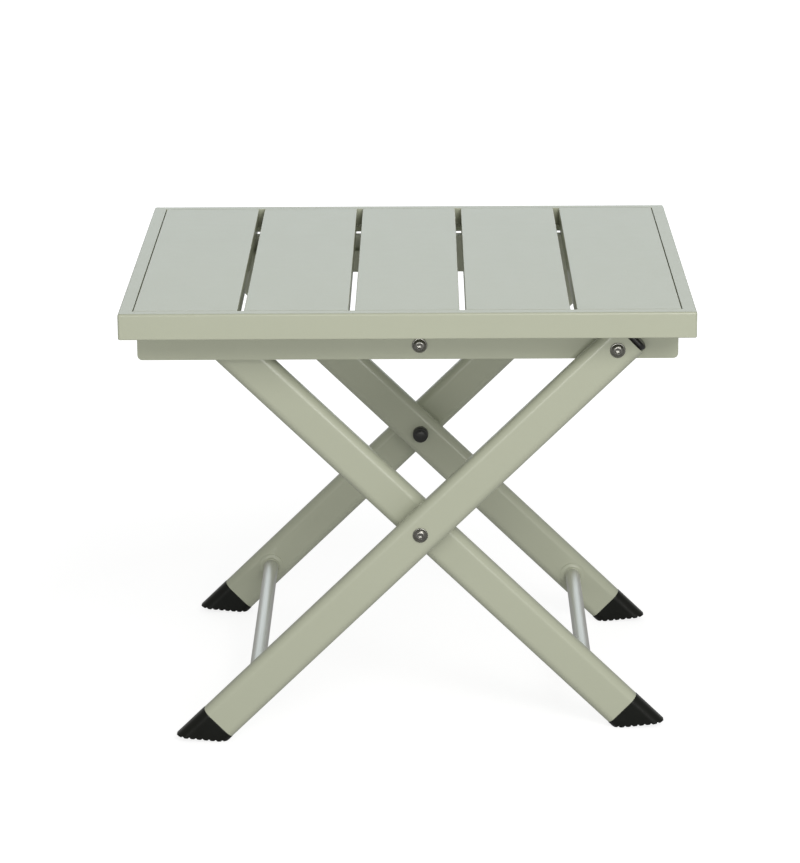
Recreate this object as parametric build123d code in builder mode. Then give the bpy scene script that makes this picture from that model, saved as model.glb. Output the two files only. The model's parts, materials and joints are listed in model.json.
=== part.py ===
from build123d import *
from math import asin, atan2, cos, degrees, hypot, radians, sin
import os

# Folding side table in powder-coated aluminium: a mitred rim round five slats, two aprons below,
# and on each side a pair of crossed legs. Each front piece has its mirror image at the back.
# Millimetres. The origin is on the floor under the middle of the top: +X runs along the front,
# +Y to the back, +Z up. "Front" distances below are measured from the middle plane towards -Y.

os.makedirs("parts", exist_ok=True)

# ---- driving dimensions -----------------------------------------------------------------------
table_width = 500.0
table_depth = 450.0
table_height = 404.0

rim_height = 23.0
rim_land = 12.0
rim_wall = 1.8
rim_edge_radius = 2.0
ledge_reach = 13.0
ledge_thickness = 2.8

slat_count = 5
slat_gap = 5.6
slat_side_gap = 0.6
slat_end_gap = 0.3
slat_thickness = 16.0
slat_wall = 1.3
slat_edge_radius = 1.0

pivot_drop = 41.3
centre_drop = 209.4
centre_x = 10.5
pivot_x = 183.4

leg_width = 36.0
leg_thickness = 20.0
leg_radius = 8.0
leg_wall = 1.5
leg_length = 510.0
leg_face_gap = 13.0

apron_thickness = 3.0
apron_depth = 38.0
apron_flange = 11.5
apron_end = 237.8
apron_corner = 4.5
apron_bend = 1.2

outer_leg_face = 174.4
hinge_washer = 0.9
plain_washer = 1.0
turning_gap = 0.1
hole_gap = 0.05

bolt_diameter = 6.0
running_clearance = 0.06
bush_diameter = 9.6
head_diameter = 13.4
head_height = 3.4
head_flange = 1.0
crown_inset = 1.4
crown_radius = 1.9
socket_width = 4.0
socket_depth = 2.2
nut_width = 10.0
nut_flange = 1.2
low_nut = 4.0
full_nut = 6.0
thread_gap = 0.02
bolt_tip = 1.0
cap_diameter = 15.0
cap_depth = 9.0
cap_wall = 1.2
cap_radius = 2.0
cap_fit = 0.1
spacer_diameter = 14.0

link_height = 20.5
link_thickness = 3.0
link_spacer = 5.0
link_spacer_diameter = 12.0

crossbar_diameter = 14.0
crossbar_wall = 1.5
crossbar_reach = 208.5
collar_diameter = 24.0
collar_height = 2.6
collar_radius = 2.2

plug_flange = 5.5
plug_inset = 0.8
plug_round = 2.7
foot_spigot = 22.0
plug_spigot = 8.0
spigot_clearance = 0.1
foot_proud = 0.3
sole_rise = 5.8
sole_lobes = 8
lobe_sagitta = 0.9
heel_height = 0.622
tip_radius = 2.5
cut_margin = 1.0

rivet_head = 6.6
rivet_head_height = 1.2
rivet_shank = 3.2
rivet_upset = 5.2
rivet_upset_height = 1.4
rivet_inset = 4.6
link_rivet_head = 1.6
link_rivet_round = 1.0
stud_washer = 0.6

# ---- worked out from them ---------------------------------------------------------------------
half_width = table_width / 2
half_depth = table_depth / 2
pivot_z = table_height - pivot_drop
centre_z = table_height - centre_drop
link_radius = pivot_x - centre_x
link_x = centre_x
top_pivot_x = centre_x - link_radius
arm = hypot(link_radius, pivot_z - centre_z)
leg_angle = degrees(atan2(pivot_z - centre_z, link_radius))

slat_bottom = table_height - slat_thickness
ledge_bottom = slat_bottom - ledge_thickness
slat_span = table_width - 2 * rim_land - 2 * slat_side_gap
slat_width = (slat_span - (slat_count - 1) * slat_gap) / slat_count
slat_pitch = slat_width + slat_gap
slat_length = table_depth - 2 * rim_land - 2 * slat_end_gap

apron_face = outer_leg_face - hinge_washer - turning_gap
apron_back_face = apron_face - apron_thickness
link_face = apron_back_face - link_spacer
link_back_face = link_face - link_thickness
inner_leg_face = outer_leg_face - leg_face_gap
inner_leg_back = inner_leg_face - leg_thickness
outer_leg_front = outer_leg_face + leg_thickness
half_leg = leg_length / 2
bore = bolt_diameter + 2 * running_clearance


# ---- helpers ----------------------------------------------------------------------------------
def save(solid, label):
    solid.label = label
    export_step(solid, f"parts/{label}.step")


def facing(y):
    """A plane that looks to the front at distance y from the middle plane; its axes are X and Z."""
    return Plane.XZ.offset(y)


def front_and_back(front):
    """The front piece and its mirror image, as one group of separate solids."""
    with BuildPart() as pair:
        add(front)
        mirror(front, about=Plane.XZ)
    return pair.part


def save_sides(front, label):
    """The front piece and its mirror image, as two nodes."""
    save(front, f"{label}_front")
    with BuildPart() as back:
        mirror(front, about=Plane.XZ)
    save(back.part, f"{label}_back")


def ring(x, z, outer, inner, near, far):
    """A washer, bush or spacer on a hinge axis between two distances from the middle plane."""
    with BuildPart() as tube:
        with BuildSketch(facing(near)):
            with Locations((x, z)):
                Circle(outer / 2)
                Circle(inner / 2, mode=Mode.SUBTRACT)
        extrude(amount=far - near)
    return tube.part


def button_bolt(x, z, head_face, tip):
    """A flanged button head with a hexagon socket on head_face, and its shank back to tip."""
    with BuildPart() as bolt:
        with BuildSketch(facing(tip)):
            with Locations((x, z)):
                Circle(bolt_diameter / 2)
        extrude(amount=head_face - tip)
        with BuildSketch(facing(head_face)):
            with Locations((x, z)):
                Circle(head_diameter / 2)
        extrude(amount=head_flange)
        with BuildSketch(facing(head_face + head_flange)):
            with Locations((x, z)):
                Circle(head_diameter / 2 - crown_inset)
        extrude(amount=head_height - head_flange)
        crown = bolt.edges().filter_by(GeomType.CIRCLE).group_by(Axis.Y)[0]
        fillet(crown, radius=crown_radius)
        with BuildSketch(facing(head_face + head_height)):
            with Locations((x, z)):
                RegularPolygon(socket_width / 2, 6, major_radius=False)
        extrude(amount=-socket_depth, mode=Mode.SUBTRACT)
    return bolt.part


def nut(x, z, near, far):
    """A flanged hexagon nut between two distances from the middle plane, flange at far."""
    with BuildPart() as body:
        with BuildSketch(facing(near)):
            with Locations((x, z)):
                RegularPolygon(nut_width / 2, 6, major_radius=False)
        extrude(amount=far - near)
        with BuildSketch(facing(far - nut_flange)):
            with Locations((x, z)):
                Circle(head_diameter / 2)
        extrude(amount=nut_flange)
        with BuildSketch(facing(near)):
            with Locations((x, z)):
                Circle(bolt_diameter / 2 + thread_gap)
        extrude(amount=far - near, mode=Mode.SUBTRACT)
    return body.part


def nut_cap(x, z, far):
    """A round cover with a domed rim that clips over a nut; its open side is at far."""
    with BuildPart() as cap:
        with BuildSketch(facing(far)):
            with Locations((x, z)):
                Circle(cap_diameter / 2)
        extrude(amount=-cap_depth)
        fillet(cap.faces().sort_by(Axis.Y)[-1].edges(), radius=cap_radius)
        with BuildSketch(facing(far)):
            with Locations((x, z)):
                Circle(head_diameter / 2 + cap_fit)
        extrude(amount=-(cap_depth - cap_wall), mode=Mode.SUBTRACT)
    return cap.part


def rivets(points, top, bottom):
    """Rivets along Z: shop head under bottom, shank, and a flat upset head on top."""
    with BuildPart() as group:
        for level, diameter, height in (
            (bottom - rivet_head_height, rivet_head, rivet_head_height),
            (bottom, rivet_shank, top - bottom),
            (top, rivet_upset, rivet_upset_height),
        ):
            with BuildSketch(Plane.XY.offset(level)):
                with Locations(*points):
                    Circle(diameter / 2)
            extrude(amount=height)
    return group.part


# ---- rim: four mitred rails, box section with a ledge under the slats --------------------------
def rail(length, plane, corner_planes):
    """One rail. Its plane stands across it, local x pointing inward and local y up."""
    box_middle = (rim_land / 2, table_height - rim_height / 2)
    with BuildPart() as body:
        with BuildSketch(plane.offset(-length / 2)):
            with Locations(box_middle):
                Rectangle(rim_land, rim_height)
            with Locations((rim_land, ledge_bottom)):
                Rectangle(ledge_reach, ledge_thickness, align=(Align.MIN, Align.MIN))
            with Locations(box_middle):
                Rectangle(rim_land - 2 * rim_wall, rim_height - 2 * rim_wall, mode=Mode.SUBTRACT)
        extrude(amount=length)
        outer_edges = body.edges().filter_by(Axis((0, 0, 0), plane.z_dir))
        top_edge = outer_edges.filter_by(lambda e: on_outer_face(e, plane)).sort_by(Axis.Z)
        fillet(top_edge[-1], radius=rim_edge_radius)
        fillet(top_edge[0], radius=rim_edge_radius / 2)
        for corner_plane in corner_planes:
            split(bisect_by=corner_plane, keep=Keep.TOP)
        ledge_holes = ledge_hole_points()
        with BuildSketch(Plane.XY.offset(ledge_bottom)):
            with Locations(*ledge_holes):
                Circle(rivet_shank / 2 + hole_gap)
        extrude(amount=ledge_thickness, mode=Mode.SUBTRACT)
    return body.part


def on_outer_face(edge, plane):
    """True for an edge on the rail's outer face, where the plane's local x is zero."""
    return abs(plane.to_local_coords(edge.center()).X) < 0.01


def slat_centre(index):
    return (index - (slat_count - 1) / 2) * slat_pitch


def ledge_hole_points():
    """One rivet at each end of each slat, through the front and back ledges."""
    y = half_depth - rim_land - ledge_reach / 2
    return [(slat_centre(i), side * y) for i in range(slat_count) for side in (-1, 1)]


def mitre(x, y, inward):
    """The vertical plane through the corner (x, y) of the top, looking towards inward."""
    return Plane(origin=(x, y, 0), x_dir=(0, 0, 1), z_dir=(inward[0], inward[1], 0))


front_rail_plane = Plane(origin=(0, -half_depth, 0), x_dir=(0, 1, 0), z_dir=(1, 0, 0))
left_rail_plane = Plane(origin=(-half_width, 0, 0), x_dir=(1, 0, 0), z_dir=(0, -1, 0))
rim_front = rail(
    table_width,
    front_rail_plane,
    (mitre(-half_width, -half_depth, (1, -1)), mitre(half_width, -half_depth, (-1, -1))),
)
rim_left = rail(
    table_depth,
    left_rail_plane,
    (mitre(-half_width, -half_depth, (-1, 1)), mitre(-half_width, half_depth, (-1, -1))),
)
save_sides(rim_front, "rim")
save(rim_left, "rim_left")
with BuildPart() as rim_right:
    mirror(rim_left, about=Plane.YZ)
save(rim_right.part, "rim_right")

# ---- corner keys inside the rails --------------------------------------------------------------
key_reach = 38.0
key_fit = 0.05
with BuildPart() as corner_keys:
    inset = rim_wall + key_fit
    key_width = rim_land - 2 * inset
    key_height = rim_height - 2 * inset
    for side_x in (-1, 1):
        for side_y in (-1, 1):
            x = side_x * (half_width - inset)
            y = side_y * (half_depth - inset)
            with BuildSketch(Plane.XY.offset(table_height - rim_height + inset)):
                with Locations((x - side_x * key_reach / 2, y - side_y * key_width / 2)):
                    Rectangle(key_reach, key_width)
                with Locations((x - side_x * key_width / 2, y - side_y * key_reach / 2)):
                    Rectangle(key_width, key_reach)
            extrude(amount=key_height)
save(corner_keys.part, "corner_keys")

# ---- slats -------------------------------------------------------------------------------------
slat_rivet_y = apron_back_face - rivet_inset
for index in range(slat_count):
    with BuildPart() as slat:
        with BuildSketch(facing(-slat_length / 2)):
            with Locations((slat_centre(index), table_height - slat_thickness / 2)):
                Rectangle(slat_width, slat_thickness)
                fillet(vertices().group_by(Axis.Y)[-1], radius=slat_edge_radius)
                chamber = (slat_width - 4 * slat_wall) / 3
                for offset in (-1, 0, 1):
                    with Locations((offset * (chamber + slat_wall), 0)):
                        Rectangle(chamber, slat_thickness - 2 * slat_wall, mode=Mode.SUBTRACT)
        extrude(amount=slat_length)
        quarter = slat_width / 4
        holes = [(slat_centre(index) + dx, side * slat_rivet_y) for dx in (-quarter, quarter)
                 for side in (-1, 1)]
        holes += [point for point in ledge_hole_points() if point[0] == slat_centre(index)]
        with BuildSketch(Plane.XY.offset(slat_bottom)):
            with Locations(*holes):
                Circle(rivet_shank / 2 + hole_gap)
        extrude(amount=slat_wall, mode=Mode.SUBTRACT)
    save(slat.part, f"slat_{index + 1}")

apron_rivet_points = [(slat_centre(i) + dx, side * slat_rivet_y) for i in range(slat_count)
                      for dx in (-quarter, quarter) for side in (-1, 1)]
save(rivets(apron_rivet_points, slat_bottom + slat_wall, slat_bottom - apron_thickness),
     "apron_rivets")
save(rivets(ledge_hole_points(), slat_bottom + slat_wall, ledge_bottom), "rim_rivets")

# ---- aprons: an angle, web down and flange inward under the slats ------------------------------
flange_gap = 1.0
web_gap = 0.2
flange_end = half_width - rim_land - ledge_reach - flange_gap
with BuildPart() as apron:
    with BuildSketch(Plane.YZ.offset(-flange_end)):
        with Locations((-apron_face, slat_bottom)):
            Rectangle(apron_thickness, apron_depth, align=(Align.MIN, Align.MAX))
            Rectangle(apron_flange, apron_thickness, align=(Align.MIN, Align.MAX))
        bend = (-apron_back_face, slat_bottom - apron_thickness, 0)
        fillet(vertices().sort_by_distance(bend)[0], radius=apron_bend)
    extrude(amount=2 * flange_end)
    with BuildSketch(facing(apron_back_face)):
        with Locations((0, slat_bottom - apron_depth)):
            Rectangle(2 * apron_end, apron_depth - ledge_thickness - web_gap,
                      align=(Align.CENTER, Align.MIN))
        fillet(vertices().group_by(Axis.Y)[0], radius=apron_corner)
    extrude(amount=apron_thickness)
    with BuildSketch(facing(apron_back_face)):
        with Locations((pivot_x, pivot_z), (link_x, pivot_z)):
            Circle(bolt_diameter / 2 + hole_gap)
    extrude(amount=apron_thickness, mode=Mode.SUBTRACT)
    front_points = [point for point in apron_rivet_points if point[1] < 0]
    with BuildSketch(Plane.XY.offset(slat_bottom - apron_thickness)):
        with Locations(*front_points):
            Circle(rivet_shank / 2 + hole_gap)
    extrude(amount=apron_thickness, mode=Mode.SUBTRACT)
save_sides(apron.part, "apron")


# ---- legs, end plugs, bushes and feet ----------------------------------------------------------
def leg_plane(lean, face, distance):
    """Square across a leg at a distance up it from the centre pivot: local x is Y, local y across.

    lean is +1 for a leg that rises to the right and -1 for one that rises to the left.
    """
    rise = (lean * cos(radians(leg_angle)), 0, sin(radians(leg_angle)))
    middle = (centre_x + distance * rise[0], -(face + leg_thickness / 2),
              centre_z + distance * rise[2])
    return Plane(origin=middle, x_dir=(0, 1, 0), z_dir=rise)


def leg_tube(lean, face):
    """A leg with bush holes at its centre and top pivots and a crossbar hole in its inner wall."""
    with BuildPart() as tube:
        with BuildSketch(leg_plane(lean, face, -half_leg)):
            RectangleRounded(leg_thickness, leg_width, leg_radius)
            RectangleRounded(leg_thickness - 2 * leg_wall, leg_width - 2 * leg_wall,
                             leg_radius - leg_wall, mode=Mode.SUBTRACT)
        extrude(amount=leg_length)
        with BuildSketch(facing(face)):
            with Locations((centre_x, centre_z), (centre_x + lean * link_radius, pivot_z)):
                Circle(bush_diameter / 2 + hole_gap)
        extrude(amount=leg_thickness, mode=Mode.SUBTRACT)
        with BuildSketch(facing(face)):
            with Locations(crossbar_centre(lean)):
                Circle(crossbar_diameter / 2 + hole_gap)
        extrude(amount=2 * leg_wall, mode=Mode.SUBTRACT)
    return tube.part


def crossbar_centre(lean):
    return (centre_x - lean * crossbar_reach * cos(radians(leg_angle)),
            centre_z - crossbar_reach * sin(radians(leg_angle)))


def spigot_sketch():
    inner = 2 * (leg_wall + spigot_clearance)
    RectangleRounded(leg_thickness - inner, leg_width - inner, leg_radius - inner / 2)


def end_plug(lean, face):
    """A plug in the top of a leg: a flange with a full round outside, a spigot in the tube."""
    end = leg_plane(lean, face, half_leg)
    with BuildPart() as plug:
        with BuildSketch(end):
            RectangleRounded(leg_thickness - 2 * plug_inset, leg_width - 2 * plug_inset,
                             leg_radius - plug_inset)
        extrude(amount=plug_flange)
        flat_faces = plug.faces().filter_by(Axis(end.origin, end.z_dir))
        fillet(flat_faces.edges(), radius=plug_round)
        with BuildSketch(end):
            spigot_sketch()
        extrude(amount=-plug_spigot)
    return plug.part


def foot(lean, face):
    """A wedge foot: the leg's section carried on to a lobed sole that rises towards the tip.

    Its outline is worked out as distance outward from the centre pivot and height.
    """
    down = (cos(radians(leg_angle)), -sin(radians(leg_angle)))
    across = (sin(radians(leg_angle)), cos(radians(leg_angle)))
    half = leg_width / 2 + foot_proud
    end = (half_leg * down[0], centre_z + half_leg * down[1])
    upper = (end[0] + half * across[0], end[1] + half * across[1])
    lower = (end[0] - half * across[0], end[1] - half * across[1])
    rise = radians(sole_rise)
    # where the leg's lower and upper edges, carried on, meet the line of the sole
    heel_run = (lower[1] - heel_height) / sin(radians(leg_angle))
    heel = (lower[0] + heel_run * down[0], heel_height)
    gap_x, gap_z = upper[0] - heel[0], upper[1] - heel[1]
    tip_run = (gap_z * cos(rise) - gap_x * sin(rise)) / sin(radians(leg_angle) + rise)
    tip = (upper[0] + tip_run * down[0], upper[1] + tip_run * down[1])
    pitch_x = (tip[0] - heel[0]) / sole_lobes
    pitch_z = (tip[1] - heel[1]) / sole_lobes

    def place(point):
        return (centre_x - lean * point[0], point[1])

    with BuildPart() as shoe:
        with BuildSketch(leg_plane(lean, face, -half_leg)):
            RectangleRounded(leg_thickness + 2 * foot_proud, leg_width + 2 * foot_proud,
                             leg_radius + foot_proud)
        extrude(amount=-leg_width * 2)
        with BuildSketch(facing(face - cut_margin)):
            with BuildLine():
                Polyline(place(heel), place(lower), place(upper), place(tip))
                for lobe in range(sole_lobes):
                    start = (heel[0] + lobe * pitch_x, heel[1] + lobe * pitch_z)
                    stop = (start[0] + pitch_x, start[1] + pitch_z)
                    if lobe < sole_lobes - 1:
                        SagittaArc(place(start), place(stop), lean * lobe_sagitta)
                    else:
                        Line(place(start), place(stop))
            make_face()
            fillet(vertices().sort_by(Axis.X)[0 if lean > 0 else -1], radius=tip_radius)
        extrude(amount=leg_thickness + 2 * cut_margin, mode=Mode.INTERSECT)
        with BuildSketch(leg_plane(lean, face, -half_leg)):
            spigot_sketch()
        extrude(amount=foot_spigot)
    return shoe.part


bar_gap = 0.1
frames = (("outer", 1, outer_leg_face), ("inner", -1, inner_leg_back))
for name, lean, face in frames:
    far_face = face + leg_thickness
    pivots = ((centre_x, centre_z), (centre_x + lean * link_radius, pivot_z))
    save_sides(leg_tube(lean, face), f"{name}_leg")
    save(front_and_back(end_plug(lean, face)), f"{name}_leg_plugs")
    save_sides(foot(lean, face), f"{name}_foot")
    with BuildPart() as bushes:
        for x, z in pivots:
            add(ring(x, z, bush_diameter, bore, face, far_face))
    save(front_and_back(bushes.part), f"{name}_leg_bushes")

    bar_end = far_face - leg_wall - bar_gap
    bar_x, bar_z = crossbar_centre(lean)
    save(ring(bar_x, bar_z, crossbar_diameter, crossbar_diameter - 2 * crossbar_wall,
              -bar_end, bar_end), f"{name}_crossbar")
    with BuildPart() as collar:
        with BuildSketch(facing(face)):
            with Locations((bar_x, bar_z)):
                Circle(collar_diameter / 2)
        extrude(amount=-collar_height)
        fillet(collar.faces().sort_by(Axis.Y)[-1].edges(), radius=collar_radius)
        with BuildSketch(facing(face)):
            with Locations((bar_x, bar_z)):
                Circle(crossbar_diameter / 2 + hole_gap)
        extrude(amount=-collar_height, mode=Mode.SUBTRACT)
    save(front_and_back(collar.part), f"{name}_collars")

# ---- top pivots of the outer legs, held by the aprons ------------------------------------------
tip_beyond_nut = 0.4
head_face = outer_leg_front + turning_gap
nut_end = apron_back_face - low_nut
save(front_and_back(button_bolt(pivot_x, pivot_z, head_face, nut_end - tip_beyond_nut)),
     "hinge_bolts")
save(front_and_back(ring(pivot_x, pivot_z, head_diameter, bore, apron_face,
                         apron_face + hinge_washer)), "hinge_washers")
save(front_and_back(nut(pivot_x, pivot_z, nut_end, apron_back_face)), "hinge_nuts")

# ---- centre pivots, turning with the outer frame -----------------------------------------------
washer_end = inner_leg_back - turning_gap - plain_washer
nut_end = washer_end - full_nut
save(front_and_back(button_bolt(centre_x, centre_z, head_face, nut_end - bolt_tip)), "centre_bolts")
save(front_and_back(ring(centre_x, centre_z, spacer_diameter, bore,
                         inner_leg_face + turning_gap, outer_leg_face)), "centre_spacers")
save(front_and_back(ring(centre_x, centre_z, cap_diameter, bore, washer_end,
                         washer_end + plain_washer)), "centre_washers")
save(front_and_back(nut(centre_x, centre_z, nut_end, washer_end)), "centre_nuts")
save(front_and_back(nut_cap(centre_x, centre_z, washer_end)), "centre_caps")

# ---- link bars and their pivots on the aprons --------------------------------------------------
with BuildPart() as link:
    with BuildSketch(facing(link_back_face)):
        with Locations(((link_x + top_pivot_x) / 2, pivot_z)):
            SlotCenterToCenter(link_radius, link_height)
        with Locations((link_x, pivot_z)):
            Circle(bore / 2, mode=Mode.SUBTRACT)
        with Locations((top_pivot_x, pivot_z)):
            Circle(bolt_diameter / 2 + hole_gap, mode=Mode.SUBTRACT)
    extrude(amount=link_thickness)
save_sides(link.part, "link")

washer_end = link_back_face - turning_gap - plain_washer
nut_end = washer_end - full_nut
save(front_and_back(button_bolt(link_x, pivot_z, apron_face, nut_end - bolt_tip)), "link_bolts")
save(front_and_back(ring(link_x, pivot_z, link_spacer_diameter, bore,
                         link_face + turning_gap, apron_back_face)), "link_spacers")
save(front_and_back(ring(link_x, pivot_z, head_diameter, bore, washer_end,
                         washer_end + plain_washer)), "link_washers")
save(front_and_back(nut(link_x, pivot_z, nut_end, washer_end)), "link_nuts")
save(front_and_back(nut_cap(link_x, pivot_z, washer_end)), "link_caps")

# ---- top pivots of the inner legs: a rivet in the link, a stud with nut and cap in the leg ------
with BuildPart() as link_rivet:
    with BuildSketch(facing(link_back_face)):
        with Locations((top_pivot_x, pivot_z)):
            Circle(bolt_diameter / 2)
    extrude(amount=link_thickness)
    with BuildSketch(facing(link_face)):
        with Locations((top_pivot_x, pivot_z)):
            Circle(head_diameter / 2)
    extrude(amount=link_rivet_head)
    fillet(link_rivet.faces().sort_by(Axis.Y)[0].edges(), radius=link_rivet_round)
save(front_and_back(link_rivet.part), "link_rivets")

washer_end = inner_leg_back - plain_washer
nut_end = washer_end - full_nut
with BuildPart() as stud:
    with BuildSketch(facing(nut_end - bolt_tip)):
        with Locations((top_pivot_x, pivot_z)):
            Circle(bolt_diameter / 2)
    extrude(amount=inner_leg_face - nut_end + bolt_tip)
    with BuildSketch(facing(inner_leg_face)):
        with Locations((top_pivot_x, pivot_z)):
            Circle(head_diameter / 2)
    extrude(amount=stud_washer)
save(front_and_back(stud.part), "top_studs")
save(front_and_back(ring(top_pivot_x, pivot_z, cap_diameter, bore, washer_end, inner_leg_back)),
     "top_washers")
save(front_and_back(nut(top_pivot_x, pivot_z, nut_end, washer_end)), "top_nuts")
save(front_and_back(nut_cap(top_pivot_x, pivot_z, washer_end)), "top_caps")

# ---- the fold, for the joint record ------------------------------------------------------------
# Link and outer leg have equal arms from the apron's link pivot, and the legs have equal arms from
# the centre pivot, so the linkage is a kite: half_closed is half the angle between the legs.
link_travel = 170.0
half_open = asin(link_radius / arm)
half_closed = asin(link_radius / arm * cos(radians(link_travel / 2)))
leg_travel = link_travel / 2 + degrees(half_open - half_closed)
scissor_travel = 2 * degrees(half_open - half_closed)
print(f"leg angle {leg_angle:.3f}, arm {arm:.3f}, slat width {slat_width:.3f}")
print(f"travel: leg {leg_travel:.3f}, scissor {scissor_travel:.3f}, link {link_travel:.3f}")
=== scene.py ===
import json
import math

import bmesh
import bpy
from mathutils import Matrix, Vector


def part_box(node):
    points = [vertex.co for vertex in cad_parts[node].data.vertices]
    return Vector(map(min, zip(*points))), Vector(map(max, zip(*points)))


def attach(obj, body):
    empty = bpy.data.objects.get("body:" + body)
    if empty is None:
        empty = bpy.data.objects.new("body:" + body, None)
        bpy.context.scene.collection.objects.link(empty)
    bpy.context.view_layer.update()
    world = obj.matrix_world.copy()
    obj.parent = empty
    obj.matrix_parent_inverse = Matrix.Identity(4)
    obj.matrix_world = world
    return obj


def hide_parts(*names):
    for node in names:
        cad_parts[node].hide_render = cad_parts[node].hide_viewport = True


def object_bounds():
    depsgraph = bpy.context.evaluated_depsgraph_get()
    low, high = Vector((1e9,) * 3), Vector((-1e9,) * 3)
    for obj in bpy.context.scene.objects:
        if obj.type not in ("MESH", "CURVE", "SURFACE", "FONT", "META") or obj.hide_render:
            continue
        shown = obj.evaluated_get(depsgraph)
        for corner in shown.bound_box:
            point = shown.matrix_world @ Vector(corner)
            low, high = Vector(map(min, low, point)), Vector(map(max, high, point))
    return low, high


# The looks of the folding side table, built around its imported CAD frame. Metres.
# Shapes are laid out in millimetres and scaled by MM; every place comes from the CAD nodes.

MM = 0.001
X, Y, Z = Vector((1, 0, 0)), Vector((0, 1, 0)), Vector((0, 0, 1))

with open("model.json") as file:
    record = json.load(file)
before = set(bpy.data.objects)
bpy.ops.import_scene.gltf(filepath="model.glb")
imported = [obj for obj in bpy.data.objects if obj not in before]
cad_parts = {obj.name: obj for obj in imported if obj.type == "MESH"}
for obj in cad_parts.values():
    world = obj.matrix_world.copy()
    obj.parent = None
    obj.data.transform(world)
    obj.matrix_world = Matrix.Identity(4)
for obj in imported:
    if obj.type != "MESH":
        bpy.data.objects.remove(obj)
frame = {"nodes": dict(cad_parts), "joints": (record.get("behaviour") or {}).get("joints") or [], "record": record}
cad_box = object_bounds()

# ---- camera ------------------------------------------------------------------------------------
CAMERA_SIDE = 0.01551
CAMERA_BACK = 3.1774
CAMERA_ABOVE_TOP = 0.7136
CAMERA_PITCH = math.radians(15.506)
CAMERA_YAW = math.radians(-0.432)
CAMERA_ROLL = math.radians(-0.350)
CAMERA_LENS = 147.06


def make_camera():
    """A long lens in front of the table, a little above it."""
    forward = Vector((math.sin(CAMERA_YAW) * math.cos(CAMERA_PITCH),
                      math.cos(CAMERA_YAW) * math.cos(CAMERA_PITCH), -math.sin(CAMERA_PITCH)))
    level = Vector((math.cos(CAMERA_YAW), -math.sin(CAMERA_YAW), 0))
    upright = level.cross(forward)
    right = math.cos(CAMERA_ROLL) * level + math.sin(CAMERA_ROLL) * upright
    up = -math.sin(CAMERA_ROLL) * level + math.cos(CAMERA_ROLL) * upright
    data = bpy.data.cameras.new("camera")
    data.lens = CAMERA_LENS
    camera = bpy.data.objects.new("camera", data)
    bpy.context.scene.collection.objects.link(camera)
    turn = Matrix((right, up, -forward)).transposed().to_4x4()
    place = Vector((CAMERA_SIDE, -CAMERA_BACK, cad_box[1].z + CAMERA_ABOVE_TOP))
    camera.matrix_world = Matrix.Translation(place) @ turn
    bpy.context.scene.camera = camera


make_camera()


# ---- materials ---------------------------------------------------------------------------------
class Nodes:
    """A short way to write a node tree for one material."""

    def __init__(self, name):
        self.material = bpy.data.materials.new(name)
        self.material.use_nodes = True
        self.tree = self.material.node_tree
        self.shader = self.tree.nodes["Principled BSDF"]
        self.place = self.add("ShaderNodeTexCoord").outputs["Object"]

    def add(self, kind, **settings):
        node = self.tree.nodes.new(kind)
        for key, value in settings.items():
            setattr(node, key, value)
        return node

    def link(self, source, target):
        self.tree.links.new(source, target)

    def noise(self, scale, detail=2.0, roughness=0.5, stretch=None):
        """Noise in the row frame, scale being features per metre."""
        noise = self.add("ShaderNodeTexNoise")
        noise.inputs["Scale"].default_value = scale
        noise.inputs["Detail"].default_value = detail
        noise.inputs["Roughness"].default_value = roughness
        source = self.place
        if stretch:
            mapping = self.add("ShaderNodeMapping")
            mapping.inputs["Scale"].default_value = stretch
            self.link(source, mapping.inputs["Vector"])
            source = mapping.outputs["Vector"]
        self.link(source, noise.inputs["Vector"])
        return noise.outputs["Fac"]

    def span(self, source, low, high, start=0.3, stop=0.7):
        """A value from low to high as the source goes from start to stop."""
        spread = self.add("ShaderNodeMapRange")
        for key, value in (("From Min", start), ("From Max", stop), ("To Min", low),
                           ("To Max", high)):
            spread.inputs[key].default_value = value
        self.link(source, spread.inputs["Value"])
        return spread.outputs["Result"]

    def colours(self, source, dark, light, start=0.3, stop=0.7):
        ramp = self.add("ShaderNodeValToRGB")
        for stop_point, place, colour in zip(ramp.color_ramp.elements, (start, stop),
                                             (dark, light)):
            stop_point.position = place
            stop_point.color = (*colour, 1.0)
        self.link(source, ramp.inputs["Fac"])
        self.link(ramp.outputs["Color"], self.shader.inputs["Base Color"])
        return ramp.outputs["Color"]

    def bump(self, source, depth, strength=1.0, below=None):
        bump = self.add("ShaderNodeBump")
        bump.inputs["Distance"].default_value = depth
        bump.inputs["Strength"].default_value = strength
        self.link(source, bump.inputs["Height"])
        if below:
            self.link(below, bump.inputs["Normal"])
        return bump.outputs["Normal"]

    def finish(self, roughness, normal=None, **values):
        self.link(roughness, self.shader.inputs["Roughness"])
        if normal:
            self.link(normal, self.shader.inputs["Normal"])
        for key, value in values.items():
            self.shader.inputs[key.replace("_", " ")].default_value = value
        return self.material


def tone(colour, factor):
    return tuple(channel * factor for channel in colour)


def powder_coat():
    """Sage-green powder coat: a fine orange peel, a finer grain, and faint unevenness."""
    nodes = Nodes("sage_powder_coat")
    sage = (0.450, 0.470, 0.366)
    nodes.colours(nodes.noise(9.0, 4.0, 0.6), tone(sage, 0.99), tone(sage, 1.01))
    peel = nodes.bump(nodes.noise(420.0, 2.0), 0.00006, 0.5)
    grain = nodes.bump(nodes.noise(2600.0, 2.0, 0.6), 0.00002, 0.5, peel)
    sheen = nodes.span(nodes.noise(60.0, 3.0), 0.24, 0.27)
    return nodes.finish(sheen, grain)


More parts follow.
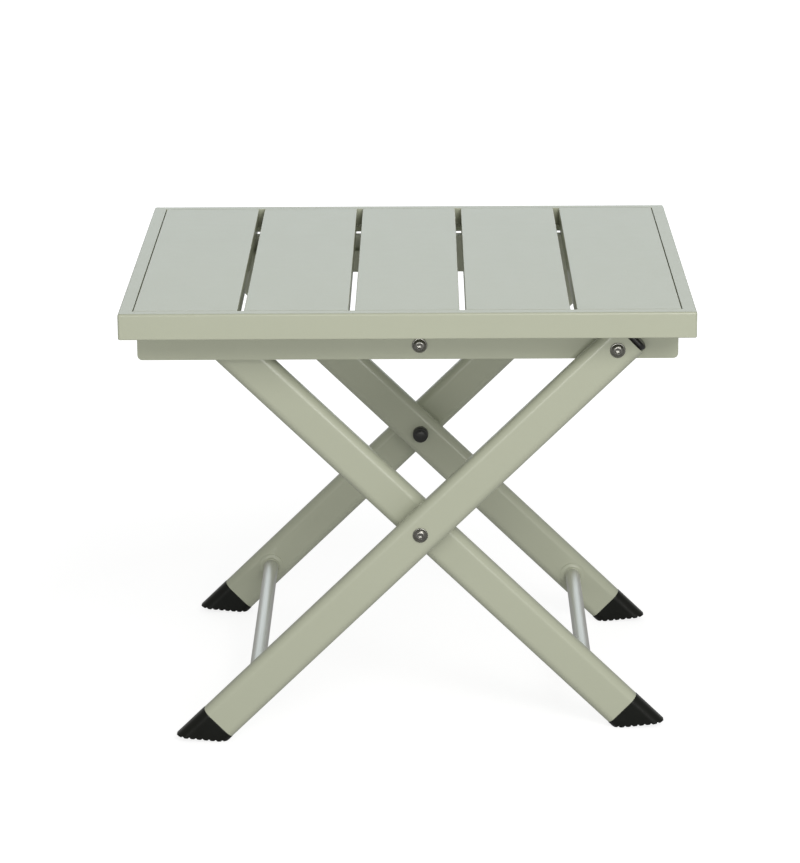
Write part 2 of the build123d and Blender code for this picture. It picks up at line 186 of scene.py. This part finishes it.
def satin_aluminium():
    """Anodised aluminium drawn along Y, with faint die lines."""
    nodes = Nodes("satin_aluminium")
    lines = nodes.noise(1.0, 3.0, 0.6, stretch=(1500.0, 12.0, 1500.0))
    nodes.colours(lines, (0.69, 0.695, 0.67), (0.75, 0.755, 0.73))
    normal = nodes.bump(lines, 0.00002, 0.4)
    return nodes.finish(nodes.span(lines, 0.42, 0.50), normal, Metallic=1.0)


def stainless():
    """Turned stainless steel, polished, with a fine uneven grain."""
    nodes = Nodes("turned_stainless")
    nodes.colours(nodes.noise(350.0, 4.0, 0.6), (0.17, 0.167, 0.15), (0.27, 0.265, 0.245))
    normal = nodes.bump(nodes.noise(1800.0, 2.0), 0.00002, 0.4)
    return nodes.finish(nodes.span(nodes.noise(500.0, 3.0), 0.22, 0.32), normal, Metallic=1.0)


def moulded(name, dark, light, rough, smooth, grain, shine=0.5):
    """Black moulded plastic or rubber with a spark-eroded grain."""
    nodes = Nodes(name)
    nodes.colours(nodes.noise(45.0, 4.0, 0.6), dark, light)
    coarse = nodes.bump(nodes.noise(grain, 2.0, 0.6), 0.00006, 0.6)
    fine = nodes.bump(nodes.noise(grain * 4, 2.0), 0.00002, 0.5, coarse)
    return nodes.finish(nodes.span(nodes.noise(120.0, 3.0), smooth, rough), fine,
                        Specular_IOR_Level=shine)


MATERIALS = {
    "painted_frame": powder_coat(),
    "bare_aluminium": satin_aluminium(),
    "stainless_steel": stainless(),
    "black_nylon": moulded("black_nylon", (0.018, 0.018, 0.017), (0.03, 0.03, 0.028),
                           0.52, 0.40, 1500.0),
    "black_plastic": moulded("black_plastic", (0.012, 0.012, 0.012), (0.02, 0.02, 0.019),
                             0.40, 0.30, 1800.0),
    "foot_rubber": moulded("foot_rubber", (0.002, 0.0026, 0.001), (0.004, 0.005, 0.003),
                           0.36, 0.30, 900.0, 0.30),
}
SLOT_OF_NODE = {entry["node"]: entry["material_slot"] for entry in frame["record"]["subparts"]}

# ---- studio ------------------------------------------------------------------------------------
WORLD_LIGHT = 0.4
FLOOR_LIGHT = 0.2
FLOOR_WHITE = 0.83
FLOOR_FADE = (0.45, 1.3)
FLOOR_HALF = 12.0
FLOOR_DEPTH_STEPS = 24


def make_floor():
    """A plain pale floor that runs far behind the table and whitens away from it."""
    mesh = bmesh.new()
    bmesh.ops.create_grid(mesh, x_segments=FLOOR_DEPTH_STEPS, y_segments=FLOOR_DEPTH_STEPS,
                          size=FLOOR_HALF)
    data = bpy.data.meshes.new("floor")
    mesh.to_mesh(data)
    mesh.free()
    floor = bpy.data.objects.new("floor", data)
    bpy.context.scene.collection.objects.link(floor)
    floor.location.z = cad_box[0].z
    nodes = Nodes("studio_floor")
    nodes.colours(nodes.noise(3.0, 2.0), (0.30, 0.30, 0.305), (0.32, 0.32, 0.325))
    distance = nodes.add("ShaderNodeVectorMath", operation="LENGTH")
    nodes.link(nodes.place, distance.inputs[0])
    white = nodes.span(distance.outputs["Value"], FLOOR_WHITE, 1.0, *FLOOR_FADE)
    path = nodes.add("ShaderNodeLightPath").outputs["Is Camera Ray"]
    strength = nodes.add("ShaderNodeMath", operation="MULTIPLY")
    nodes.link(nodes.span(path, FLOOR_LIGHT, 1.0, 0.0, 1.0), strength.inputs[0])
    nodes.link(white, strength.inputs[1])
    nodes.link(strength.outputs["Value"], nodes.shader.inputs["Emission Strength"])
    data.materials.append(nodes.finish(nodes.span(nodes.noise(20.0), 0.8, 0.9),
                                       Emission_Color=(1, 1, 1, 1)))
    nodes.shader.inputs["Specular IOR Level"].default_value = 0.0


def make_light(name, place, size, power, colour, target):
    """A softbox at place, turned to the target; size is its width and height."""
    data = bpy.data.lights.new(name, "AREA")
    data.shape = "RECTANGLE"
    data.size, data.size_y = size
    data.energy = power
    data.color = colour
    light = bpy.data.objects.new(name, data)
    bpy.context.scene.collection.objects.link(light)
    turn = (target - place).to_track_quat("-Z", "Y").to_matrix().to_4x4()
    light.matrix_world = Matrix.Translation(place) @ turn


def make_world():
    world = bpy.data.worlds.new("studio")
    world.use_nodes = True
    background = world.node_tree.nodes["Background"]
    background.inputs["Color"].default_value = (1.0, 1.0, 0.955, 1.0)
    path = world.node_tree.nodes.new("ShaderNodeLightPath")
    strength = world.node_tree.nodes.new("ShaderNodeMapRange")
    strength.inputs["To Min"].default_value = WORLD_LIGHT
    strength.inputs["To Max"].default_value = 1.06
    world.node_tree.links.new(path.outputs["Is Camera Ray"], strength.inputs["Value"])
    world.node_tree.links.new(strength.outputs["Result"], background.inputs["Strength"])
    bpy.context.scene.world = world
    bpy.context.scene.view_settings.view_transform = "Standard"


table_middle = (cad_box[0] + cad_box[1]) / 2
make_floor()
make_world()
make_light("key", Vector((1.0, -2.6, 2.1)), (1.4, 1.4), 42.0, (1.0, 0.985, 0.95), table_middle)
make_light("front", Vector((0.2, -3.6, 0.8)), (3.0, 0.45), 40.0, (1.0, 1.0, 0.985), table_middle)
make_light("rear", Vector((0.0, 3.6, 1.5)), (2.6, 2.6), 18.5, (0.87, 0.965, 1.02), table_middle)

# ---- shapes --------------------------------------------------------------------------------------
SHARP_ANGLE = math.radians(38)


def outline(low, high, radii, steps=6):
    """A rectangle from low to high with a radius at each corner: points anticlockwise from low."""
    points = []
    corners = ((low[0], low[1], 180), (high[0], low[1], 270), (high[0], high[1], 0),
               (low[0], high[1], 90))
    for (x, y, start), radius in zip(corners, radii):
        middle_x = x + (radius if x == low[0] else -radius)
        middle_y = y + (radius if y == low[1] else -radius)
        for step in range(steps + 1):
            turn = math.radians(start + 90 * step / steps)
            points.append((middle_x + radius * math.cos(turn), middle_y + radius * math.sin(turn)))
    return [p for i, p in enumerate(points) if math.dist(p, points[i - 1]) > 1e-9]


def inset(points, amount):
    """The outline moved inward by amount, with mitred corners."""
    moved = []
    for index, point in enumerate(points):
        before, after = points[index - 1], points[(index + 1) % len(points)]
        a = (Vector(point) - Vector(before)).normalized()
        b = (Vector(after) - Vector(point)).normalized()
        normal_a, normal_b = Vector((-a.y, a.x)), Vector((-b.y, b.x))
        half = (normal_a + normal_b) / (1 + normal_a.dot(normal_b))
        moved.append((point[0] + half.x * amount, point[1] + half.y * amount))
    return moved


def rounded_ends(low, high, radius, steps=3):
    """Levels of a prism as (height, inset), with a rounding of that radius at both ends."""
    turns = [math.pi / 2 * step / steps for step in range(steps + 1)]
    bottom = [(low + radius * (1 - math.cos(turn)), radius * (1 - math.sin(turn)))
              for turn in turns]
    top = [(high - (height - low), depth) for height, depth in reversed(bottom)]
    return bottom + top


def prism(points, axes, levels):
    """Loops of an outline in the plane of axes x and y, one at each level along axes z."""
    origin, x_dir, y_dir, z_dir = axes
    return [[origin + x_dir * x + y_dir * y + z_dir * height for x, y in inset(points, depth)]
            for height, depth in levels]


def turned(profile, origin, axis, count=72):
    """Loops of a turned shape: profile holds (radius, height along the axis) pairs.

    A radius may be a function of the angle.
    """
    side = axis.orthogonal().normalized()
    other = axis.cross(side)
    turns = [2 * math.pi * step / count for step in range(count)]
    return [[origin + axis * height + (side * math.cos(turn) + other * math.sin(turn))
             * (radius(turn) if callable(radius) else radius) for turn in turns]
            for radius, height in profile]


def skin(mesh, loops, closed=False):
    """Faces through loops with equally many points; the ends are joined, or else capped."""
    rings = [[mesh.verts.new(point) for point in loop] for loop in loops]
    pairs = list(zip(rings, rings[1:]))
    if closed:
        pairs.append((rings[-1], rings[0]))
    for low, high in pairs:
        for index in range(len(low)):
            following = (index + 1) % len(low)
            mesh.faces.new((low[index], low[following], high[following], high[index]))
    if not closed:
        mesh.faces.new(rings[0][::-1])
        mesh.faces.new(rings[-1])


def mirrored(stacks):
    """The front shapes and their mirror images at the back."""
    back = [([[Vector((p.x, -p.y, p.z)) for p in loop] for loop in loops], closed)
            for loops, closed in stacks]
    return stacks + back


def to_object(name, stacks):
    """One object from stacks of (loops, closed), with hard edges kept and the rest smooth."""
    mesh = bmesh.new()
    for loops, closed in stacks:
        skin(mesh, loops, closed)
    bmesh.ops.remove_doubles(mesh, verts=mesh.verts, dist=1e-7)
    bmesh.ops.recalc_face_normals(mesh, faces=mesh.faces)
    finish_edges(mesh)
    data = bpy.data.meshes.new(name)
    mesh.to_mesh(data)
    mesh.free()
    piece = bpy.data.objects.new(name, data)
    bpy.context.scene.collection.objects.link(piece)
    return piece


def finish_edges(mesh):
    for edge in mesh.edges:
        edge.smooth = edge.is_manifold and edge.calc_face_angle(math.pi) < SHARP_ANGLE
    for face in mesh.faces:
        face.smooth = True


def dress(piece, *nodes):
    """Gives the piece its CAD nodes' body, slot and material, and stands it in for them."""
    slot = SLOT_OF_NODE[nodes[0]]
    piece.data.materials.clear()
    piece.data.materials.append(MATERIALS[slot])
    normals = piece.modifiers.new("flat_faces_stay_flat", "WEIGHTED_NORMAL")
    normals.keep_sharp = True
    normals.weight = 100
    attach(piece, BODY_OF_NODE[nodes[0]])
    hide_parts(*nodes)
    return piece


def detail(node, stacks):
    """A finished piece that takes the place of one CAD node."""
    return dress(to_object(f"{node}_detail", stacks), node)


def extent(node, direction, origin=Vector((0, 0, 0)), side=0):
    """How far a CAD node reaches along direction from origin; side -1 looks at the front only."""
    reach = [(vertex.co - origin).dot(direction)
             for vertex in frame["nodes"][node].data.vertices if vertex.co.y * side >= 0]
    return min(reach), max(reach)


BODY_OF_NODE = {node: body for body, nodes in frame["record"]["behaviour"]["bodies"].items()
                for node in nodes}
JOINT_PLACE = {joint["name"]: Vector(joint["pos_m"]) for joint in frame["joints"]}

# ---- rim ---------------------------------------------------------------------------------------
RIM_LAND = 12.0 * MM
RIM_TOP_RADIUS = 1.9 * MM
RIM_CORNER_RADIUS = 2.2 * MM
RIM_LOW_RADIUS = 1.1 * MM
RIM_SLAT_EDGE = 0.5 * MM
LEDGE_EDGE = 0.4 * MM
LEDGE_THICKNESS = 2.8 * MM


def rim_section(top, bottom, ledge_top, ledge_bottom, ledge_end):
    """The rail's outline as (distance inward from the outer face, height)."""
    box = outline((0.0, bottom), (RIM_LAND, top),
                  (RIM_LOW_RADIUS, LEDGE_EDGE, RIM_SLAT_EDGE, RIM_TOP_RADIUS))
    ledge = outline((RIM_LAND, ledge_bottom), (ledge_end, ledge_top),
                    (0.0, LEDGE_EDGE, LEDGE_EDGE, 0.0), steps=3)
    inner_side = [index for index, point in enumerate(box)
                  if abs(point[0] - RIM_LAND) < 1e-9 and point[1] < ledge_bottom]
    cut = max(inner_side) + 1
    return box[:cut] + ledge + box[cut:]


def rail(section, corner, along, inward, length, mitre_steps=5):
    """Loops of one rail from corner to corner; both ends stop on the mitre, rounded in plan."""
    def station(distance_in, share, end):
        # share runs from 0, where the corner's rounding starts, to 1 on the mitre
        radius = max(RIM_CORNER_RADIUS - distance_in, 0.0)
        middle = max(RIM_CORNER_RADIUS, distance_in)
        turn = math.pi / 4 * share
        run = middle - radius * math.sin(turn)
        depth = middle - radius * math.cos(turn)
        return run if end == 0 else length - run, depth

    loops = []
    for end, shares in ((0, [1 - k / mitre_steps for k in range(mitre_steps + 1)]),
                        (1, [k / mitre_steps for k in range(mitre_steps + 1)])):
        for share in shares:
            loop = []
            for distance_in, height in section:
                run, depth = station(distance_in, share, end)
                loop.append(corner + along * run + inward * depth + Z * height)
            loops.append(loop)
    return loops


low, high = cad_box
ledge_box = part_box("rim_front")
slat_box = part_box("slat_1")
section = rim_section(high.z, ledge_box[0].z, slat_box[0].z, slat_box[0].z - LEDGE_THICKNESS,
                      ledge_box[1].y - ledge_box[0].y)
width, depth = high.x - low.x, high.y - low.y
for name, corner, along, inward, length in (
    ("rim_front", (low.x, low.y), X, Y, width),
    ("rim_back", (high.x, high.y), -X, -Y, width),
    ("rim_left", (low.x, high.y), -Y, X, depth),
    ("rim_right", (high.x, low.y), Y, -X, depth),
):
    detail(name, [(rail(section, Vector((*corner, 0)), along, inward, length), False)])

# ---- slats -------------------------------------------------------------------------------------
SLAT_LOW_RADIUS = 0.5 * MM
SLAT_TOP_RADIUS = 1.1 * MM
SLAT_END_EDGE = 0.4 * MM

for name in [node for node in frame["nodes"] if node.startswith("slat_")]:
    low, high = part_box(name)
    points = outline((low.x, low.z), (high.x, high.z),
                     (SLAT_LOW_RADIUS, SLAT_LOW_RADIUS, SLAT_TOP_RADIUS, SLAT_TOP_RADIUS))
    levels = rounded_ends(low.y, high.y, SLAT_END_EDGE)
    detail(name, [(prism(points, (Vector(), X, Z, Y), levels), False)])

# ---- aprons ------------------------------------------------------------------------------------
APRON_SHEET = 3.0 * MM
APRON_CORNER = 4.5 * MM
APRON_BEND = 1.2 * MM
SHEET_EDGE = 0.55 * MM
FLANGE_END_EDGE = 0.3 * MM
STEP_CLEARANCE = 0.2 * MM


def apron_stacks():
    """The front apron: an upright web with rounded lower corners, and a flange under the slats."""
    low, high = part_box("apron_front")
    flange_end = max(v.co.x for v in frame["nodes"]["apron_front"].data.vertices
                     if v.co.z > high.z - APRON_SHEET / 2)
    shoulder = high.z - LEDGE_THICKNESS - STEP_CLEARANCE
    web = outline((low.x, low.z), (high.x, shoulder), (APRON_CORNER, APRON_CORNER, 0, 0))
    web = web[:-1] + [(flange_end, shoulder), (flange_end, high.z), (-flange_end, high.z),
                      (-flange_end, shoulder), web[-1]]
    back = low.y + APRON_SHEET
    bend_y, bend_z = back + APRON_BEND, high.z - APRON_SHEET - APRON_BEND
    bend = [(bend_y - APRON_BEND * math.sin(t), bend_z + APRON_BEND * math.cos(t))
            for t in (math.pi / 2 * k / 6 for k in range(7))]
    flange = [(back - SHEET_EDGE, high.z), (back - SHEET_EDGE, bend_z), *bend[::-1],
              (high.y, high.z - APRON_SHEET), (high.y, high.z)]
    return [
        (prism(web, (Vector(), X, Z, Y), rounded_ends(low.y, back, SHEET_EDGE)), False),
        (prism(flange, (Vector(), Y, Z, X),
               rounded_ends(-flange_end, flange_end, FLANGE_END_EDGE)), False),
    ]


def front_and_back(base, stacks):
    """The front piece and its mirror image, standing for the two CAD nodes of that name."""
    both = mirrored(stacks)
    detail(f"{base}_front", both[:len(stacks)])
    detail(f"{base}_back", both[len(stacks):])


front_and_back("apron", apron_stacks())

# ---- legs and their end plugs ------------------------------------------------------------------
LEG_RADIUS = 8.0 * MM
LEG_WALL = 1.5 * MM
LEG_END_EDGE = 0.45 * MM
PLUG_ROUND = 2.7 * MM
PLUG_INSET = 0.8 * MM
SPIGOT_EDGE = 0.4 * MM
SPIGOT_CLEARANCE = 0.1 * MM

centre = JOINT_PLACE["scissor_fold"]
to_hinge = (JOINT_PLACE["leg_fold"] - centre).normalized()
RISE = {"outer": to_hinge, "inner": Vector((-to_hinge.x, 0, to_hinge.z))}


def leg_frame(name):
    """The front leg's axes: origin at the centre pivot, then thickness, width and length."""
    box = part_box(f"{name}_leg_front")
    rise = RISE[name]
    return Vector((centre.x, (box[0].y + box[1].y) / 2, centre.z)), Y, Y.cross(rise), rise


def leg_outline(name, grow=0.0):
    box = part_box(f"{name}_leg_front")
    origin, _, across, _ = leg_frame(name)
    half_width = extent(f"{name}_leg_front", across, origin)[1] + grow
    half_thick = (box[1].y - box[0].y) / 2 + grow
    return outline((-half_thick, -half_width), (half_thick, half_width),
                   (LEG_RADIUS + grow,) * 4, steps=10)


for name in RISE:
    axes = leg_frame(name)
    points = leg_outline(name)
    foot_end, top_end = extent(f"{name}_leg_front", axes[3], axes[0])
    edge = LEG_END_EDGE
    levels = rounded_ends(foot_end, top_end, edge)
    levels += [(top_end, LEG_WALL - edge), (top_end - edge, LEG_WALL),
               (foot_end + edge, LEG_WALL), (foot_end, LEG_WALL - edge)]
    front_and_back(f"{name}_leg", [(prism(points, axes, levels), True)])

    spigot_end, plug_top = extent(f"{name}_leg_plugs", axes[3], axes[0], -1)
    flange = [(height, depth + PLUG_INSET)
              for height, depth in rounded_ends(top_end, plug_top, PLUG_ROUND, steps=8)]
    spigot = rounded_ends(spigot_end, top_end + SPIGOT_EDGE, SPIGOT_EDGE)
    spigot = [(height, depth + LEG_WALL + SPIGOT_CLEARANCE) for height, depth in spigot]
    detail(f"{name}_leg_plugs", mirrored([(prism(points, axes, flange), False),
                                          (prism(points, axes, spigot), False)]))

# ---- feet --------------------------------------------------------------------------------------
FOOT_PROUD = 0.3 * MM
FOOT_SPIGOT = 22.0 * MM
SOLE_RISE = math.radians(5.8)
HEEL_HEIGHT = 0.622 * MM
SOLE_LOBES = 8
LOBE_PROUD = 0.9 * MM
LOBE_CROWN = 0.35 * MM
GROOVE_DEPTH = 1.15 * MM
GROOVE_WIDTH = 0.75 * MM
FOOT_VOXEL = 0.36 * MM
FOOT_SOFTENING = 5
FOOT_FACES_KEPT = 0.3
POINTS_PER_LOBE = 24


def foot_profile(name):
    """The foot's outline in the leg's plane, as points (outward, up), with a lobed sole."""
    origin, _, across, rise = leg_frame(name)
    outward = Vector((-rise.x, 0, 0)).normalized()
    down = Vector((abs(rise.x), -rise.z))
    side = Vector((rise.z, abs(rise.x)))
    half = extent(f"{name}_leg_front", across, origin)[1] + FOOT_PROUD
    end = Vector((0, origin.z)) - down * extent(f"{name}_leg_front", rise, origin)[0]
    upper, lower = end + side * half, end - side * half
    heel = lower + down * ((lower.y - HEEL_HEIGHT) / -down.y)
    sole = Vector((math.cos(SOLE_RISE), math.sin(SOLE_RISE)))
    gap = upper - heel
    tip = upper + down * ((gap.y * sole.x - gap.x * sole.y) / (sole.y * down.x - sole.x * down.y))
    length = (tip - heel).length
    pitch = length / SOLE_LOBES
    proud = Vector((sole.y, -sole.x))
    points = []
    steps = POINTS_PER_LOBE * SOLE_LOBES
    for step in range(steps + 1):
        run = length * step / steps
        place = run / pitch
        from_groove = abs(place - round(place)) * pitch
        depth = GROOVE_DEPTH * math.exp(-(from_groove / GROOVE_WIDTH) ** 2)
        crown = LOBE_CROWN * (2 * (place % 1.0) - 1) ** 2
        lift = LOBE_PROUD * min(1.0, run / pitch * 3, (length - run) / pitch)
        if round(place) in (0, SOLE_LOBES):
            depth = 0.0
        points.append(heel + sole * run + proud * (lift - crown * min(1.0, lift / LOBE_PROUD)
                                                   - depth))
    return [origin + outward * p.x + Z * (p.y - origin.z) for p in
            [upper - down * FOOT_SPIGOT, lower - down * FOOT_SPIGOT, *points]]


def soft_solid(name, stacks):
    """The part common to two solids, remeshed finely and relaxed so that its edges are moulded."""
    first, second = (to_object(f"{name}_{index}", [stack]) for index, stack in enumerate(stacks))
    common = first.modifiers.new("common", "BOOLEAN")
    common.operation, common.solver, common.object = "INTERSECT", "EXACT", second
    voxels = first.modifiers.new("voxels", "REMESH")
    voxels.mode, voxels.voxel_size = "VOXEL", FOOT_VOXEL
    relax = first.modifiers.new("relax", "SMOOTH")
    relax.factor, relax.iterations = 0.5, FOOT_SOFTENING
    lighter = first.modifiers.new("lighter", "DECIMATE")
    lighter.ratio = FOOT_FACES_KEPT
    bpy.context.view_layer.update()
    graph = bpy.context.evaluated_depsgraph_get()
    data = bpy.data.meshes.new_from_object(first.evaluated_get(graph))
    for used in (first, second):
        bpy.data.objects.remove(used)
    return data


def from_mesh(name, data):
    """An object with its own smooth copy of a mesh."""
    data = data.copy()
    data.shade_smooth()
    piece = bpy.data.objects.new(name, data)
    bpy.context.scene.collection.objects.link(piece)
    return piece


for name in RISE:
    axes = leg_frame(name)
    foot_end = extent(f"{name}_leg_front", axes[3], axes[0])[0]
    reach = extent(f"{name}_foot_front", axes[3], axes[0])[0]
    side_low, side_high = (edge.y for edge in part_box(f"{name}_foot_front"))
    section = leg_outline(name, FOOT_PROUD)
    shell = prism(section, axes, [(reach - FOOT_SPIGOT, 0.0), (foot_end, 0.0)])
    profile = foot_profile(name)
    slab = [[point - Y * (point.y - y) for point in profile]
            for y in (side_low - LEG_WALL, side_high + LEG_WALL)]
    mesh = soft_solid(name, [(shell, False), (slab, False)])
    dress(from_mesh(f"{name}_foot_front_detail", mesh), f"{name}_foot_front")
    mesh.transform(Matrix.Diagonal((1, -1, 1, 1)))
    mesh.flip_normals()
    dress(from_mesh(f"{name}_foot_back_detail", mesh), f"{name}_foot_back")
    bpy.data.meshes.remove(mesh)

# ---- crossbars and collars ---------------------------------------------------------------------
BAR_WALL = 1.5 * MM
COLLAR_EDGE = 0.6 * MM
COLLAR_THROAT = 0.7 * MM
COLLAR_LIP = 0.3 * MM
SMALL_EDGE = 0.25 * MM


def round_part(node):
    """Axis place, near and far distance from the middle plane, outer and bore radius."""
    vertices = [v.co for v in frame["nodes"][node].data.vertices if v.co.y <= 0]
    low = Vector(min(v[i] for v in vertices) for i in range(3))
    high = Vector(max(v[i] for v in vertices) for i in range(3))
    middle = Vector(((low.x + high.x) / 2, 0, (low.z + high.z) / 2))
    bore = min(math.hypot(v.x - middle.x, v.z - middle.z) for v in vertices)
    return middle, -high.y, -low.y, (high.x - low.x) / 2, bore


def tube_profile(near, far, outer, bore, edge):
    """A tube's closed outline as (radius, height), its corners cut by edge."""
    return [(outer - edge, near), (outer, near + edge), (outer, far - edge), (outer - edge, far),
            (bore + edge, far), (bore, far - edge), (bore, near + edge), (bore + edge, near)]


for name in RISE:
    low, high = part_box(f"{name}_crossbar")
    middle = (low + high) / 2
    radius = (high.x - low.x) / 2
    profile = tube_profile(low.y, high.y, radius, radius - BAR_WALL, SMALL_EDGE)
    detail(f"{name}_crossbar", [(turned(profile, Vector((middle.x, 0, middle.z)), Y), True)])

    middle, near, far, outer, bore = round_part(f"{name}_collars")
    height = far - near
    throat = bore + COLLAR_THROAT
    flare = [(throat + (outer - COLLAR_EDGE - throat) * (1 - math.cos(t)),
              far - height + COLLAR_EDGE + (height - COLLAR_EDGE) * (1 - math.sin(t)))
             for t in (math.pi / 2 * k / 8 for k in range(9))]
    profile = [(bore, near), (bore, far), (bore + COLLAR_LIP, far), *flare]
    profile = [(r, near + far - h) for r, h in profile] + [(outer, far - COLLAR_EDGE), (outer, far)]
    detail(f"{name}_collars", mirrored([(turned(profile, middle, -Y), True)]))

# ---- bolts, washers, spacers, caps and studs ---------------------------------------------------
BOLT_RADIUS = 3.0 * MM
HEAD_HEIGHT = 3.4 * MM
SOCKET_APOTHEM = 2.0 * MM
SOCKET_DEPTH = 2.2 * MM
SOCKET_CHAMFER = 0.35 * MM
SOCKET_POINT = 0.5 * MM
PIN_CENTRE = 0.4 * MM
PIN_CHAMFER = 0.5 * MM


def hexagon(apothem):
    """A hexagon's radius as a function of angle."""
    return lambda turn: apothem / math.cos((turn + math.pi / 6) % (math.pi / 3) - math.pi / 6)


def bolt_profile(tip, top):
    """A flanged button head with a hexagon socket: (radius, height) with heights outward."""
    under = top - HEAD_HEIGHT
    dome = [(radius * MM, under + height * MM) for radius, height in (
        (5.75, 1.12), (5.62, 1.5), (5.35, 1.95), (4.95, 2.4), (4.4, 2.82), (3.8, 3.12),
        (3.2, 3.3), (2.75, 3.38), (2.55, 3.4), (2.42, 3.36))]
    return [
        (PIN_CENTRE, tip), (BOLT_RADIUS - PIN_CHAMFER, tip), (BOLT_RADIUS, tip + PIN_CHAMFER),
        (BOLT_RADIUS, under), (6.4 * MM, under), (6.65 * MM, under + 0.15 * MM),
        (6.7 * MM, under + 0.4 * MM), (6.68 * MM, under + 0.75 * MM),
        (6.5 * MM, under + 0.98 * MM), (6.1 * MM, under + 1.08 * MM), *dome,
        (hexagon(SOCKET_APOTHEM), top - SOCKET_CHAMFER),
        (hexagon(SOCKET_APOTHEM), top - SOCKET_DEPTH),
        (0.3 * MM, top - SOCKET_DEPTH - SOCKET_POINT),
    ]


for name in ("hinge_bolts", "centre_bolts", "link_bolts"):
    middle, tip, top, _, _ = round_part(name)
    detail(name, mirrored([(turned(bolt_profile(tip, top), middle, -Y), False)]))

for name in ("hinge_washers", "centre_washers", "link_washers", "top_washers",
             "centre_spacers", "link_spacers"):
    middle, near, far, outer, bore = round_part(name)
    profile = tube_profile(near, far, outer, bore, min(SMALL_EDGE, (far - near) / 3))
    detail(name, mirrored([(turned(profile, middle, -Y), True)]))

CAP_MOUTH = 6.8 * MM
CAP_EDGE = 0.4 * MM
CAP_SHOULDER = 0.45
CAP_DOME_STEPS = 12
CAP_WALL = 1.2 * MM
CAP_CENTRE = 0.3 * MM

for name in ("centre_caps", "link_caps", "top_caps"):
    middle, near, far, outer, _ = round_part(name)
    depth = far - near
    dome = [(outer * math.cos(t) ** 0.75,
             far - depth * (CAP_SHOULDER + (1 - CAP_SHOULDER) * math.sin(t)))
            for t in (math.pi / 2 * k / CAP_DOME_STEPS for k in range(CAP_DOME_STEPS))]
    profile = [(CAP_CENTRE, near + CAP_WALL), (CAP_MOUTH, near + CAP_WALL + CAP_EDGE),
               (CAP_MOUTH, far), (outer - CAP_EDGE, far), (outer, far - CAP_EDGE), *dome,
               (CAP_CENTRE, near)]
    detail(name, mirrored([(turned(profile, middle, -Y), False)]))

LINK_RIVET_HEAD = 1.6 * MM
STUD_WASHER = 0.6 * MM

middle, near, far, outer, _ = round_part("link_rivets")
head = LINK_RIVET_HEAD
profile = [(PIN_CENTRE, near), (BOLT_RADIUS - 0.3 * MM, near), (BOLT_RADIUS, near + 0.3 * MM),
           (BOLT_RADIUS, far - head), (outer - 0.2 * MM, far - head), (outer, far - head * 0.8),
           (outer - 0.15 * MM, far - head * 0.55), (outer - 0.9 * MM, far - head * 0.25),
           (outer - 2.4 * MM, far - head * 0.06), (PIN_CENTRE, far)]
detail("link_rivets", mirrored([(turned(profile, middle, -Y), False)]))

middle, near, far, outer, _ = round_part("top_studs")
washer = STUD_WASHER
profile = [(PIN_CENTRE, near), (BOLT_RADIUS - PIN_CHAMFER, near),
           (BOLT_RADIUS, near + PIN_CHAMFER), (BOLT_RADIUS, far - washer),
           (outer - 0.15 * MM, far - washer), (outer, far - washer * 0.7),
           (outer, far - washer * 0.3), (outer - 0.15 * MM, far), (PIN_CENTRE, far)]
detail("top_studs", mirrored([(turned(profile, middle, -Y), False)]))

# ---- link bars ---------------------------------------------------------------------------------
ROUND_END_GAP = 0.01 * MM

low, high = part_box("link_front")
end_radius = (high.z - low.z) / 2 - ROUND_END_GAP
bar = outline((low.x, low.z), (high.x, high.z), (end_radius,) * 4, steps=12)
front_and_back("link", [(prism(bar, (Vector(), X, Z, Y),
                               rounded_ends(low.y, high.y, SHEET_EDGE)), False)])

# ---- rivets ------------------------------------------------------------------------------------
RIVET_HEAD = 3.3 * MM
RIVET_SHANK = 1.6 * MM
RIVET_HEIGHT = 1.2 * MM
slat_boxes = [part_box(name) for name in frame["nodes"] if name.startswith("slat_")]


def rivet_row(node, shares):
    """Domed blind rivets at those shares of each slat's width, by the front; the caller mirrors them."""
    low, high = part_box(node)
    base = low.z + RIVET_HEIGHT
    profile = [(0.6 * MM, high.z), (RIVET_SHANK, high.z), (RIVET_SHANK, base),
               (RIVET_HEAD - 0.1 * MM, base), (RIVET_HEAD, base - 0.25 * MM),
               (RIVET_HEAD - 0.5 * MM, base - 0.7 * MM), (RIVET_HEAD - 1.3 * MM, base - 1.05 * MM),
               (1.1 * MM, low.z), (0.8 * MM, low.z + 0.15 * MM), (0.6 * MM, low.z + 1.0 * MM)]
    return [(turned(profile, Vector((box[0].x + (box[1].x - box[0].x) * share,
                                     low.y + RIVET_HEAD, 0)), Z, count=28), True)
            for box in slat_boxes for share in shares]


detail("apron_rivets", mirrored(rivet_row("apron_rivets", (0.25, 0.75))))
detail("rim_rivets", mirrored(rivet_row("rim_rivets", (0.5,))))

# ---- carried-over CAD nodes --------------------------------------------------------------------
for name, node in frame["nodes"].items():
    node.data.materials.clear()
    node.data.materials.append(MATERIALS[SLOT_OF_NODE[name]])
